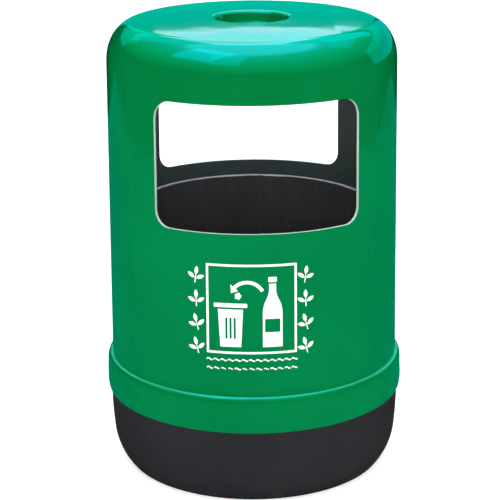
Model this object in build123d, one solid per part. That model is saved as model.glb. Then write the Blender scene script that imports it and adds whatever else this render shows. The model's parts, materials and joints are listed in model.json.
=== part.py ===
from build123d import *
from math import acos, asin, atan, atan2, cos, degrees, radians, sin, tan
import os

# Litter bin: a hood and a base moulded in glass-fibre laminate, with a steel bucket inside.
# Millimetres and degrees. The origin is on the ground under the bin's axis, +Z is up,
# -Y is the front and +Y is the back, where the lock is.

# Hood moulding
HOOD_WALL = 4.0             # laminate thickness
HOOD_RADIUS = 218.0         # side wall, just above the ledge
SIDE_DRAFT = 0.46           # the side wall leans in by this angle
SIDE_HEIGHT = 451.0         # from the ledge to the start of the roof's knuckle
KNUCKLE_RUN = 42.0          # half axis of the knuckle's ellipse, across
KNUCKLE_RISE = 57.0         # half axis of the knuckle's ellipse, up
CROWN_ANGLE = 3.0           # slope of the roof's shallow crown where it meets the knuckle

# Stepped band round the foot of the hood
BAND_FOOT_Z = 116.4         # lower edge of the band above the ground
BAND_HEIGHT = 54.4          # from the lower edge to the ledge
BAND_STEP = 8.2             # the band stands this far out from the side wall
BAND_TOP_INSET = 0.8        # the band is this much slimmer under its shoulder
SHOULDER_RUN = 5.6          # rounded shoulder under the ledge
SHOULDER_DROP = 12.0
TUCK_RUN = 3.0              # rounded tuck at the lower edge
TUCK_RISE = 15.0

# Mouths
MOUTH_ANGLE = 84.0          # width of each mouth round the axis
MOUTH_SILL_Z = 412.6        # lower edge
MOUTH_HEIGHT = 182.6
MOUTH_TOP_CORNER = 28.0     # corner radii
MOUTH_SILL_CORNER = 24.0

# Ash recess in the roof
ASH_RADIUS = 55.0
ASH_DEPTH = 22.0
ASH_DRAFT = 14.0
ASH_CORNER = 9.0
ASH_LIP_ROUND = 5.0

# Base moulding
BASE_WALL = 5.0
RIM_WALL = 4.0              # thinner wall of the upstand inside the hood's band
BAND_FIT = 1.2              # side clearance between the band and the upstand
BELLY_Z = 115.0             # where the bowl starts to curve in, going down
BELLY_RADIUS = 650.0
BELLY_ANGLE = 5.7
BOWL_RADIUS = 92.0
FOOT_ROUND = 4.0
FOOT_RECESS = 3.0           # the floor's underside is this far off the ground
FOOT_WIDTH = 10.0           # ring that stands on the ground
FLOOR_WALL = 5.0
DRAIN_RADIUS = 5.0
DRAIN_COUNT = 3

# Seat ring moulded in the base floor for the bucket
SEAT_HEIGHT = 17.0          # above the floor
SEAT_WIDTH = 12.0
SEAT_DRAFT_RUN = 3.0
LIP_HEIGHT = 6.0            # locating lip round the bucket's foot
LIP_WIDTH = 5.5
LIP_FIT = 1.5

# Steel anchor ring on the base floor, with the ground bolt holes
ANCHOR_INSET = 46.5         # from the seat's bore to the bolt circle
ANCHOR_COUNT = 4
ANCHOR_HOLE_RADIUS = 6.5
ANCHOR_RING_WIDTH = 40.0
ANCHOR_RING_WALL = 4.0
ANCHOR_RIVET_RADIUS = 3.0
ANCHOR_RIVET_HEAD = 6.0
ANCHOR_RIVET_HEAD_DEPTH = 1.8

# Bucket
SHEET = 1.0                 # sheet steel
BUCKET_ROOM = 35.4          # from the hood's bore to the inside of the bucket's rim
BUCKET_TAPER = 28.6         # the foot is this much smaller in radius than the rim
BUCKET_RIM_Z = 396.0        # top of the rolled rim
RIM_WIRE_RADIUS = 2.0
RIM_WIRE_FIT = 0.15         # between the wire and the sheet rolled round it
CURL_OPENING = 65.0         # part of the circle that the rolled rim leaves open
SWAGE_HEIGHTS = (95.0, 225.0)   # pressed rings, above the bucket's foot
SWAGE_RADIUS = 4.0
BOTTOM_RECESS = 6.0         # the bottom sits this far above the bucket's foot
BOTTOM_DISH = 3.0
BOTTOM_FLANGE = 5.0
BOTTOM_FIT = 0.05           # between the flange and the wall
BUCKET_DRAIN_RADIUS = 4.0
BUCKET_DRAIN_PCD = 160.0
BUCKET_DRAIN_COUNT = 5

# Ears and bail
PIVOT_DROP = 20.0           # bail pivot below the top of the rim
EAR_WIDTH = 52.0
EAR_HEIGHT = 18.0
EAR_BRIDGE_WIDTH = 24.0
EAR_STAND_OFF = 4.5         # room behind the bridge for the bail's end
EAR_WALL = 1.6
EAR_RIVET_RADIUS = 2.0
EAR_RIVET_HEAD = 3.6
EAR_RIVET_HEAD_DEPTH = 1.2
EAR_RIVET_FIT = 0.03        # under the inner head, off the round wall
BAIL_WIRE_RADIUS = 3.0
BAIL_CLEARANCE = 0.8        # between the bridge and the start of the bail's bend
BAIL_BEND = 5.0             # centre line of the bend from the bow into the ear
PIVOT_FIT = 0.08            # radial clearance of the bail in its ears
BAIL_HEAD_RADIUS = 4.4      # upset end behind the bridge
BAIL_HEAD_DEPTH = 2.0
GRIP_RADIUS = 9.0
GRIP_LENGTH = 105.0
REST_GAP = 0.3              # between the grip and the bucket when the bail hangs

# Lock at the back of the band
LOCK_Z = 143.0
BOSS_RADIUS = 20.0          # moulded pad inside the band that carries the lock
BOSS_DEPTH = 4.0
NOTCH_FIT = 3.0             # room round the pad in the notch of the base rim
HOUSING_RADIUS = 10.0
HOUSING_LENGTH = 15.0
HOUSING_FLANGE_RADIUS = 13.5
HOUSING_FLANGE_DEPTH = 2.6
HOUSING_SEAT_FIT = 0.6      # radial room round the flange in its pocket
PLUG_RADIUS = 6.0
PLUG_FIT = 0.05
PLUG_HEAD_RADIUS = 8.0
PLUG_HEAD_DEPTH = 3.0
PLUG_SIDE_FIT = 0.4         # room round and behind the plug's head
KEY_SIDE = 8.0              # triangular key recess
KEY_DEPTH = 2.2
NUT_FLATS = 26.0
NUT_DEPTH = 4.5
WASHER_RADIUS = 16.0
WASHER_DEPTH = 1.2
CAM_SQUARE = 7.0            # square end of the plug that drives the cam
CAM_WIDTH = 16.0
CAM_REACH = 42.0            # from the lock's axis to the cam's tip
CAM_DEPTH = 3.0
CAM_GAP = 0.5               # between the housing's end and the cam
SCREW_HEAD_RADIUS = 5.0
SCREW_HEAD_DEPTH = 3.0
SCREW_RADIUS = 2.5
SCREW_LENGTH = 11.0
CAM_WASHER_RADIUS = 6.5
CAM_WASHER_DEPTH = 1.0

# Keeper on the base wall
KEEPER_OFFSET = 4.0         # from the edge of the notch to the keeper
KEEPER_WIDTH = 28.0
KEEPER_LEG = 26.0
KEEPER_REACH = 14.0         # how far the keeper's tongue reaches in over the cam
KEEPER_WALL = 3.0
KEEPER_FIT = 1.0            # between the cam's upper edge and the keeper when locked
KEEPER_RIVET_RADIUS = 2.4
KEEPER_RIVET_HEAD = 4.5
KEEPER_RIVET_HEAD_DEPTH = 1.8

# ---------------------------------------------------------------------------
# Levels and radii that follow from the values above
# ---------------------------------------------------------------------------
BAND_RADIUS = HOOD_RADIUS + BAND_STEP
BUCKET_RIM_RADIUS = HOOD_RADIUS - HOOD_WALL - BUCKET_ROOM
BUCKET_FOOT_RADIUS = BUCKET_RIM_RADIUS - BUCKET_TAPER
LEDGE_Z = BAND_FOOT_Z + BAND_HEIGHT
KNEE_Z = LEDGE_Z + SIDE_HEIGHT
KNEE_RADIUS = HOOD_RADIUS - SIDE_HEIGHT * tan(radians(SIDE_DRAFT))
KNUCKLE_START = degrees(atan(KNUCKLE_RISE / KNUCKLE_RUN * tan(radians(SIDE_DRAFT))))
KNUCKLE_CENTRE_R = KNEE_RADIUS - KNUCKLE_RUN * cos(radians(KNUCKLE_START))
KNUCKLE_CENTRE_Z = KNEE_Z - KNUCKLE_RISE * sin(radians(KNUCKLE_START))
BAND_BORE = BAND_RADIUS - HOOD_WALL
RIM_Z = LEDGE_Z - HOOD_WALL
UPSTAND_RADIUS = BAND_BORE - BAND_FIT
UPSTAND_BORE = UPSTAND_RADIUS - RIM_WALL
FLOOR_Z = FOOT_RECESS + FLOOR_WALL
SEAT_Z = FLOOR_Z + SEAT_HEIGHT
LIP_BORE = BUCKET_FOOT_RADIUS + LIP_FIT
ANCHOR_PCD = 2 * (LIP_BORE - ANCHOR_INSET)
CURL_RADIUS = RIM_WIRE_RADIUS + RIM_WIRE_FIT
BEAD_RADIUS = CURL_RADIUS + SHEET
BEAD_Z = BUCKET_RIM_Z - BEAD_RADIUS
WALL_SLOPE = (BUCKET_RIM_RADIUS + SHEET - BUCKET_FOOT_RADIUS) / (BEAD_Z - SEAT_Z)
WALL_LEAN = degrees(atan(WALL_SLOPE))
PIVOT_Z = BUCKET_RIM_Z - PIVOT_DROP
MOUTH_TOP_Z = MOUTH_SILL_Z + MOUTH_HEIGHT


def bucket_radius(z):
    """Outside radius of the bucket's wall at height z."""
    return BUCKET_FOOT_RADIUS + (z - SEAT_Z) * WALL_SLOPE


EAR_FACE_X = bucket_radius(PIVOT_Z) + EAR_STAND_OFF + EAR_WALL
BAIL_RADIUS = EAR_FACE_X + BAIL_CLEARANCE + BAIL_BEND
BAIL_REACH = BAIL_RADIUS + BAIL_BEND
BAIL_HANG = WALL_LEAN + degrees(
    acos((bucket_radius(PIVOT_Z) * cos(radians(WALL_LEAN)) + GRIP_RADIUS + REST_GAP) / BAIL_REACH)
)
SEAT_POCKET_Y = BAND_RADIUS - BAND_TOP_INSET - HOUSING_FLANGE_DEPTH
BOSS_FACE_Y = BAND_BORE - BOSS_DEPTH
HOUSING_END_Y = SEAT_POCKET_Y - HOUSING_LENGTH
CAM_FACE_Y = HOUSING_END_Y - CAM_GAP
CAM_WASHER_Y = CAM_FACE_Y - CAM_DEPTH
NOTCH_HALF = BOSS_RADIUS + NOTCH_FIT
KEEPER_X = NOTCH_HALF + KEEPER_OFFSET
KEEPER_TONGUE_Z = LOCK_Z + CAM_WIDTH / 2 + KEEPER_FIT


# ---------------------------------------------------------------------------
# Helpers
# ---------------------------------------------------------------------------
def section(*edges):
    """Closed half section, given as (radius, height), standing in the XZ plane."""
    return Plane.XZ * make_face(Curve() + list(edges))


def turned(*edges):
    """Solid of revolution about the bin's axis from the edges of a half section."""
    return revolve(section(*edges), Axis.Z)


def ring(inner, outer, low, high):
    """Plain ring about the bin's axis."""
    return turned(
        Polyline((inner, low), (outer, low), (outer, high), (inner, high), close=True)
    )


def disc_along_y(radius, y_from, y_to, x=0.0, z=0.0):
    """Cylinder along Y between two depths, on the line through x and z."""
    low, high = min(y_from, y_to), max(y_from, y_to)
    start = Plane(origin=(x, low, z), x_dir=(1, 0, 0), z_dir=(0, 1, 0))
    return extrude(start * Circle(radius), high - low)


def spaced(radius, count, start=0.0):
    """Places spread evenly on a circle about the bin's axis."""
    return PolarLocations(radius, count, start_angle=start)


# ---------------------------------------------------------------------------
# Hood
# ---------------------------------------------------------------------------
def roof_edges(inset):
    """Knuckle and crown of the hood, pulled in by inset, from the side wall to the axis."""
    run = KNUCKLE_RUN - inset
    rise = KNUCKLE_RISE - inset
    finish = degrees(atan2(rise, run * tan(radians(CROWN_ANGLE))))
    knuckle = EllipticalCenterArc(
        (KNUCKLE_CENTRE_R, KNUCKLE_CENTRE_Z),
        run,
        rise,
        KNUCKLE_START,
        arc_size=finish - KNUCKLE_START,
    )
    edge_of_crown = knuckle @ 1
    crown_radius = edge_of_crown.X / sin(radians(CROWN_ANGLE))
    crown_centre = (0, edge_of_crown.Y - crown_radius * cos(radians(CROWN_ANGLE)))
    crown = CenterArc(crown_centre, crown_radius, 90 - CROWN_ANGLE, CROWN_ANGLE)
    return knuckle, crown


def hood_outside():
    """Everything inside the hood's outer skin."""
    knuckle, crown = roof_edges(0)
    band_top = BAND_RADIUS - BAND_TOP_INSET
    shoulder = EllipticalCenterArc(
        (band_top - SHOULDER_RUN, LEDGE_Z - SHOULDER_DROP), SHOULDER_RUN, SHOULDER_DROP
    )
    tuck = EllipticalCenterArc(
        (BAND_RADIUS - TUCK_RUN, BAND_FOOT_Z + TUCK_RISE), TUCK_RUN, TUCK_RISE, -90
    )
    return turned(
        Line((0, BAND_FOOT_Z), tuck @ 0),
        tuck,
        Line(tuck @ 1, shoulder @ 0),
        shoulder,
        Line(shoulder @ 1, (HOOD_RADIUS, LEDGE_Z)),
        Line((HOOD_RADIUS, LEDGE_Z), knuckle @ 0),
        knuckle,
        crown,
        Line(crown @ 1, (0, BAND_FOOT_Z)),
    )


def hood_inside():
    """Hollow of the hood, with the wider bore of the band below the ledge."""
    knuckle, crown = roof_edges(HOOD_WALL)
    below = BAND_FOOT_Z - HOOD_WALL
    return turned(
        Polyline(
            (0, below),
            (BAND_BORE, below),
            (BAND_BORE, RIM_Z),
            (HOOD_RADIUS - HOOD_WALL, RIM_Z),
            knuckle @ 0,
        ),
        knuckle,
        crown,
        Line(crown @ 1, (0, below)),
    )


def ash_dish(grow):
    """Filled shape of the ash recess, grown by grow on every side."""
    crown = roof_edges(0)[1]
    top = (crown @ 1).Y
    floor = top - ASH_DEPTH - grow
    over = top + ASH_LIP_ROUND
    draft = tan(radians(ASH_DRAFT))
    floor_radius = ASH_RADIUS + grow - (ASH_DEPTH + grow) * draft
    over_radius = floor_radius + (over - floor) * draft
    profile = make_face(
        Polyline((0, floor), (floor_radius, floor), (over_radius, over), (0, over), close=True)
    )
    corner = profile.vertices().group_by(Axis.Y)[0].sort_by(Axis.X)[-1]
    profile = fillet(corner, ASH_CORNER + grow)
    return revolve(Plane.XZ * profile, Axis.Z)


def mouth_cutter(facing):
    """Sector with radial sides and rounded corners, centred on the direction facing."""
    reach_in = HOOD_RADIUS / 2
    reach_out = HOOD_RADIUS * 1.2
    blank = revolve(
        section(
            Polyline(
                (reach_in, MOUTH_SILL_Z),
                (reach_out, MOUTH_SILL_Z),
                (reach_out, MOUTH_TOP_Z),
                (reach_in, MOUTH_TOP_Z),
                close=True,
            )
        ),
        Axis.Z,
        MOUTH_ANGLE,
    )
    radial = blank.edges().filter_by(GeomType.LINE).filter_by(Axis.Z, reverse=True)
    blank = fillet(radial.group_by(Axis.Z)[0], MOUTH_SILL_CORNER)
    radial = blank.edges().filter_by(GeomType.LINE).filter_by(Axis.Z, reverse=True)
    blank = fillet(radial.group_by(Axis.Z)[-1], MOUTH_TOP_CORNER)
    return Rot(0, 0, facing - MOUTH_ANGLE / 2) * blank


def hood_shell():
    boss = disc_along_y(BOSS_RADIUS, BOSS_FACE_Y, BAND_BORE + HOOD_WALL / 2, z=LOCK_Z)
    hollow = hood_inside() - ash_dish(HOOD_WALL)
    shell = hood_outside() - ash_dish(0) - hollow + boss
    lip = shell.edges().filter_by(GeomType.CIRCLE).group_by(Axis.Z)[-1]
    shell = fillet(lip, ASH_LIP_ROUND)
    shell -= [mouth_cutter(facing) for facing in (-90, 90)]
    pocket = disc_along_y(
        HOUSING_FLANGE_RADIUS + HOUSING_SEAT_FIT, SEAT_POCKET_Y, BAND_RADIUS + 1, z=LOCK_Z
    )
    bore = disc_along_y(HOUSING_RADIUS, BOSS_FACE_Y - 1, BAND_RADIUS + 1, z=LOCK_Z)
    return shell - pocket - bore


# ---------------------------------------------------------------------------
# Base
# ---------------------------------------------------------------------------
def base_side(inset, low):
    """Belly and bowl arcs of the base wall, pulled in by inset, down to height low."""
    belly_centre = (UPSTAND_RADIUS - BELLY_RADIUS, BELLY_Z)
    belly = CenterArc(belly_centre, BELLY_RADIUS - inset, 0, -BELLY_ANGLE)
    lean = radians(BELLY_ANGLE)
    bowl_r = belly_centre[0] + (BELLY_RADIUS - BOWL_RADIUS) * cos(lean)
    bowl_z = BELLY_Z - (BELLY_RADIUS - BOWL_RADIUS) * sin(lean)
    foot_angle = degrees(asin((bowl_z - low) / (BOWL_RADIUS - inset)))
    bowl = CenterArc(
        (bowl_r, bowl_z), BOWL_RADIUS - inset, -BELLY_ANGLE, BELLY_ANGLE - foot_angle
    )
    return belly, bowl


def base_outside():
    belly, bowl = base_side(0, 0)
    return turned(
        Polyline((0, 0), (0, RIM_Z), (UPSTAND_RADIUS, RIM_Z), belly @ 0),
        belly,
        bowl,
        Line(bowl @ 1, (0, 0)),
    )


def base_inside():
    """Hollow of the base above its floor, between the wall and the seat ring."""
    belly, bowl = base_side(BASE_WALL, FLOOR_Z)
    over = RIM_Z + BASE_WALL
    return turned(
        Polyline((0, FLOOR_Z), (0, over), (UPSTAND_BORE, over), (UPSTAND_BORE, BELLY_Z), belly @ 0),
        belly,
        bowl,
        Line(bowl @ 1, (0, FLOOR_Z)),
    )


def seat_ring():
    """Raised seat for the bucket's foot, with its locating lip."""
    inner = LIP_BORE - SEAT_WIDTH
    lip_outer = LIP_BORE + LIP_WIDTH
    return turned(
        Polyline(
            (inner - SEAT_DRAFT_RUN, FLOOR_Z),
            (inner, SEAT_Z),
            (LIP_BORE, SEAT_Z),
            (LIP_BORE, SEAT_Z + LIP_HEIGHT),
            (lip_outer, SEAT_Z + LIP_HEIGHT),
            (lip_outer + SEAT_DRAFT_RUN, FLOOR_Z),
            close=True,
        )
    )


def seat_groove():
    """Groove under the seat ring, so that the laminate keeps one thickness."""
    inner = LIP_BORE - SEAT_WIDTH + FLOOR_WALL
    outer = LIP_BORE + LIP_WIDTH - FLOOR_WALL / 2
    roof = SEAT_Z - FLOOR_WALL
    return turned(
        Polyline(
            (inner - SEAT_DRAFT_RUN, 0), (inner, roof), (outer, roof),
            (outer + SEAT_DRAFT_RUN, 0), close=True,
        )
    )


def rim_notch():
    """Notch in the back of the base rim that the lock drops into."""
    centre = Plane(origin=(0, UPSTAND_BORE - BASE_WALL, LOCK_Z), x_dir=(1, 0, 0), z_dir=(0, 1, 0))
    round_end = extrude(centre * Circle(NOTCH_HALF), 3 * BASE_WALL)
    above = RIM_Z - LOCK_Z + BASE_WALL
    slot = Pos(0, UPSTAND_BORE + BASE_WALL / 2, LOCK_Z + above / 2) * Box(
        2 * NOTCH_HALF, 3 * BASE_WALL, above
    )
    return round_end + slot


def base_shell():
    bowl = base_side(0, 0)[1]
    foot_outer = (bowl @ 1).X
    foot_inner = foot_outer - FOOT_ROUND - FOOT_WIDTH
    shell = base_outside()
    foot_edge = shell.edges().filter_by(GeomType.CIRCLE).group_by(Axis.Z)[0]
    shell = fillet(foot_edge, FOOT_ROUND)
    shell -= base_inside()
    shell += seat_ring()
    shell -= turned(
        Polyline(
            (0, 0), (foot_inner, 0), (foot_inner - FOOT_RECESS, FOOT_RECESS), (0, FOOT_RECESS),
            close=True,
        )
    )
    shell -= seat_groove()
    shell -= rim_notch()
    through = 2 * FLOOR_Z
    anchor_hole = Cylinder(ANCHOR_HOLE_RADIUS, through)
    rivet_hole = Cylinder(ANCHOR_RIVET_RADIUS, through)
    drain_hole = Cylinder(DRAIN_RADIUS, through)
    gutter = (foot_inner + LIP_BORE + LIP_WIDTH + SEAT_DRAFT_RUN) / 2
    level = Pos(0, 0, FLOOR_Z / 2)
    shell -= [level * place * anchor_hole for place in spaced(ANCHOR_PCD / 2, ANCHOR_COUNT)]
    shell -= [level * place * rivet_hole for place in rivet_places()]
    shell -= [level * place * drain_hole for place in spaced(gutter, DRAIN_COUNT, 30)]
    for x in keeper_rivet_positions():
        shell -= disc_along_y(
            KEEPER_RIVET_RADIUS, UPSTAND_BORE - 2 * BASE_WALL, BAND_RADIUS, x, keeper_rivet_z()
        )
        shell -= countersink(x, 0)
    return shell


# ---------------------------------------------------------------------------
# Anchor ring and its rivets
# ---------------------------------------------------------------------------
def rivet_places():
    return spaced(ANCHOR_PCD / 2, ANCHOR_COUNT, 180 / ANCHOR_COUNT)


def anchor_ring():
    middle = ANCHOR_PCD / 2
    half = ANCHOR_RING_WIDTH / 2
    plate = ring(middle - half, middle + half, FLOOR_Z, FLOOR_Z + ANCHOR_RING_WALL)
    level = Pos(0, 0, FLOOR_Z + ANCHOR_RING_WALL / 2)
    hole = Cylinder(ANCHOR_HOLE_RADIUS, 2 * ANCHOR_RING_WALL)
    rivet_hole = Cylinder(ANCHOR_RIVET_RADIUS, 2 * ANCHOR_RING_WALL)
    plate -= [level * place * hole for place in spaced(middle, ANCHOR_COUNT)]
    plate -= [level * place * rivet_hole for place in rivet_places()]
    return plate


def rivet_head(radius, depth):
    """Low bevelled head standing on z = 0."""
    blank = Pos(0, 0, depth / 2) * Cylinder(radius, depth)
    return chamfer(blank.edges().group_by(Axis.Z)[-1], depth / 2, depth)


def anchor_rivets():
    top = FLOOR_Z + ANCHOR_RING_WALL
    shank = Pos(0, 0, (FOOT_RECESS + top) / 2) * Cylinder(
        ANCHOR_RIVET_RADIUS, top - FOOT_RECESS
    )
    head = rivet_head(ANCHOR_RIVET_HEAD, ANCHOR_RIVET_HEAD_DEPTH)
    rivet = shank + Pos(0, 0, top) * head + Pos(0, 0, FOOT_RECESS) * Rot(180, 0, 0) * head
    return Compound([place * rivet for place in rivet_places()])


# ---------------------------------------------------------------------------
# Keeper and its rivets
# ---------------------------------------------------------------------------
def keeper_rivet_positions():
    middle = KEEPER_X + KEEPER_WIDTH / 2
    step = KEEPER_WIDTH / 4
    return (middle - step, middle + step)


def keeper_rivet_z():
    return KEEPER_TONGUE_Z - KEEPER_LEG / 2 + KEEPER_WALL / 2


def keeper():
    """Angle on the base wall: a curved leg and a flat tongue over the cam."""
    leg_top = KEEPER_TONGUE_Z + KEEPER_WALL
    leg = ring(UPSTAND_BORE - KEEPER_WALL, UPSTAND_BORE, leg_top - KEEPER_LEG, leg_top)
    tongue = ring(UPSTAND_BORE - KEEPER_REACH, UPSTAND_BORE, KEEPER_TONGUE_Z, leg_top)
    span = Pos(KEEPER_X + KEEPER_WIDTH / 2, UPSTAND_BORE, LOCK_Z) * Box(
        KEEPER_WIDTH, 4 * KEEPER_REACH, 2 * KEEPER_LEG
    )
    part = (leg + tongue) & span
    for x in keeper_rivet_positions():
        part -= disc_along_y(
            KEEPER_RIVET_RADIUS, UPSTAND_BORE - KEEPER_REACH - 1, BAND_RADIUS, x, keeper_rivet_z()
        )
    return part


def countersink(x, under):
    """Countersunk seat in the outside of the upstand, sunk under it by under."""
    depth = KEEPER_RIVET_HEAD - KEEPER_RIVET_RADIUS
    face_y = (UPSTAND_RADIUS ** 2 - (x + KEEPER_RIVET_HEAD) ** 2) ** 0.5 - under
    place = Plane(origin=(x, face_y, keeper_rivet_z()), x_dir=(1, 0, 0), z_dir=(0, -1, 0))
    cone = Pos(0, 0, depth / 2) * Cone(KEEPER_RIVET_HEAD, KEEPER_RIVET_RADIUS, depth)
    mouth = Pos(0, 0, -depth) * Cylinder(KEEPER_RIVET_HEAD, 2 * depth)
    return place * (cone + mouth) if under == 0 else place * cone


def keeper_rivets():
    rivets = []
    for x in keeper_rivet_positions():
        inner_y = ((UPSTAND_BORE - KEEPER_WALL) ** 2 - (x + KEEPER_RIVET_HEAD) ** 2) ** 0.5
        outer_y = (UPSTAND_RADIUS ** 2 - (x + KEEPER_RIVET_HEAD) ** 2) ** 0.5
        shank = disc_along_y(KEEPER_RIVET_RADIUS, inner_y, outer_y, x, keeper_rivet_z())
        place = Plane(origin=(x, inner_y, keeper_rivet_z()), x_dir=(1, 0, 0), z_dir=(0, -1, 0))
        head = place * rivet_head(KEEPER_RIVET_HEAD, KEEPER_RIVET_HEAD_DEPTH)
        flush = place.offset(inner_y - outer_y)
        sunk = flush * Pos(0, 0, (KEEPER_RIVET_HEAD - KEEPER_RIVET_RADIUS) / 2) * Cone(
            KEEPER_RIVET_HEAD, KEEPER_RIVET_RADIUS, KEEPER_RIVET_HEAD - KEEPER_RIVET_RADIUS
        )
        rivets.append(shank + head + sunk)
    return Compound(rivets)


# ---------------------------------------------------------------------------
# Bucket
# ---------------------------------------------------------------------------
def bead_centre():
    lean = radians(WALL_LEAN)
    return BUCKET_RIM_RADIUS + BEAD_RADIUS * cos(lean), BEAD_Z


def bucket_wall():
    """Sheet wall that rolls outwards round the rim wire, with two pressed rings."""
    centre = bead_centre()
    start = 180 - WALL_LEAN
    sweep = -(360 - CURL_OPENING)
    outer_curl = CenterArc(centre, BEAD_RADIUS, start, sweep)
    inner_curl = CenterArc(centre, CURL_RADIUS, start, sweep)
    foot_in = (BUCKET_FOOT_RADIUS - SHEET, SEAT_Z)
    foot_out = (BUCKET_FOOT_RADIUS, SEAT_Z)
    wall = make_face(
        Curve()
        + [
            Line(foot_in, outer_curl @ 0),
            outer_curl,
            Line(outer_curl @ 1, inner_curl @ 1),
            inner_curl,
            Line(inner_curl @ 0, foot_out),
            Line(foot_out, foot_in),
        ]
    )
    for height in SWAGE_HEIGHTS:
        z = SEAT_Z + height
        middle = Pos(bucket_radius(z) - SHEET / 2, z)
        inside = Pos(bucket_radius(z) - SHEET - SWAGE_RADIUS, z) * Rectangle(
            2 * SWAGE_RADIUS, 4 * SWAGE_RADIUS
        )
        bump = middle * Circle(SWAGE_RADIUS) - inside
        wall = wall + bump - middle * Circle(SWAGE_RADIUS - SHEET)
    return revolve(Plane.XZ * wall, Axis.Z)


def liner_body():
    """Bucket wall with the holes of the ear rivets."""
    body = bucket_wall()
    for side in (-1, 1):
        for place in ear_rivet_places(side):
            body -= place * Cylinder(EAR_RIVET_RADIUS, 8 * SHEET)
    return body


def liner_rim_wire():
    centre = bead_centre()
    return revolve(Plane.XZ * Pos(*centre) * Circle(RIM_WIRE_RADIUS), Axis.Z)


def liner_bottom():
    """Pressed bottom with a flange that lies inside the wall's foot."""
    z = SEAT_Z + BOTTOM_RECESS
    low = z - BOTTOM_FLANGE
    inner_top = bucket_radius(z + SHEET) - SHEET - BOTTOM_FIT
    inner_low = bucket_radius(low) - SHEET - BOTTOM_FIT
    step = BUCKET_DRAIN_PCD / 2 + 4 * BUCKET_DRAIN_RADIUS
    plate = turned(
        Polyline(
            (0, z + BOTTOM_DISH),
            (step, z + BOTTOM_DISH),
            (step + 2 * BOTTOM_DISH, z),
            (inner_top - SHEET, z),
            (inner_low - SHEET, low),
            (inner_low, low),
            (inner_top, z + SHEET),
            (step + 2 * BOTTOM_DISH, z + SHEET),
            (step, z + BOTTOM_DISH + SHEET),
            (0, z + BOTTOM_DISH + SHEET),
            close=True,
        )
    )
    hole = Pos(0, 0, z + BOTTOM_DISH) * Cylinder(BUCKET_DRAIN_RADIUS, 8 * SHEET)
    plate -= [place * hole for place in spaced(BUCKET_DRAIN_PCD / 2, BUCKET_DRAIN_COUNT, 90)]
    return plate


def wall_skin(inner, outer):
    """Slice of a cone that follows the bucket's wall, between two offsets outside it."""
    low, high = PIVOT_Z - EAR_HEIGHT / 2, PIVOT_Z + EAR_HEIGHT / 2
    return turned(
        Polyline(
            (bucket_radius(low) + inner, low),
            (bucket_radius(low) + outer, low),
            (bucket_radius(high) + outer, high),
            (bucket_radius(high) + inner, high),
            close=True,
        )
    )


def ear(side):
    """Bridge of strip steel: two feet on the wall and a raised middle with the pivot hole."""
    strip = wall_skin(0, EAR_WALL) & Pos(side * EAR_FACE_X, 0, PIVOT_Z) * Box(
        EAR_FACE_X, EAR_WIDTH, EAR_HEIGHT
    )
    depth = EAR_STAND_OFF + EAR_WALL
    block = Pos(side * (EAR_FACE_X - depth), 0, PIVOT_Z) * Box(
        2 * depth, EAR_BRIDGE_WIDTH, EAR_HEIGHT
    )
    block = block - wall_skin(-4 * depth, 0)
    room = Pos(side * (EAR_FACE_X - EAR_WALL - depth), 0, PIVOT_Z) * Box(
        2 * depth, EAR_BRIDGE_WIDTH - 2 * EAR_WALL, 2 * EAR_HEIGHT
    )
    along_x = Rot(0, 90, 0) * Cylinder(BAIL_WIRE_RADIUS + PIVOT_FIT, 4 * depth)
    return strip + block - room - Pos(side * EAR_FACE_X, 0, PIVOT_Z) * along_x


def ear_rivet_places(side):
    """Frames on the bucket's wall at the rivets of one ear, with their Z axis outwards."""
    offset = (EAR_WIDTH + EAR_BRIDGE_WIDTH) / 4
    facing = 0 if side > 0 else 180
    spread = degrees(asin(offset / bucket_radius(PIVOT_Z)))
    return [
        Pos(0, 0, PIVOT_Z)
        * Rot(0, 0, facing + turn)
        * Pos(bucket_radius(PIVOT_Z), 0, 0)
        * Rot(0, 90 + WALL_LEAN, 0)
        for turn in (-spread, spread)
    ]


def liner_ears():
    ears = []
    for side in (-1, 1):
        part = ear(side)
        for place in ear_rivet_places(side):
            part -= place * Cylinder(EAR_RIVET_RADIUS, 8 * EAR_WALL)
        ears.append(part)
    return Compound(ears)


def ear_rivets():
    """Rivets of the ears. The inner head clears the hollow of the round wall."""
    sag = EAR_RIVET_HEAD ** 2 / (2 * bucket_radius(PIVOT_Z) - 2 * SHEET) + EAR_RIVET_FIT
    grip = SHEET + EAR_WALL + sag
    head = rivet_head(EAR_RIVET_HEAD, EAR_RIVET_HEAD_DEPTH)
    shank = Pos(0, 0, EAR_WALL - grip / 2) * Cylinder(EAR_RIVET_RADIUS, grip)
    rivet = shank + Pos(0, 0, EAR_WALL) * head + Pos(0, 0, -SHEET - sag) * Rot(180, 0, 0) * head
    return Compound([place * rivet for side in (-1, 1) for place in ear_rivet_places(side)])


# ---------------------------------------------------------------------------
# Bail: drawn upright in the XZ plane with the pivot at the origin, then laid down to rest
# ---------------------------------------------------------------------------
def laid_down(part):
    return Pos(0, 0, PIVOT_Z) * Rot(90 + BAIL_HANG, 0, 0) * part


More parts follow.
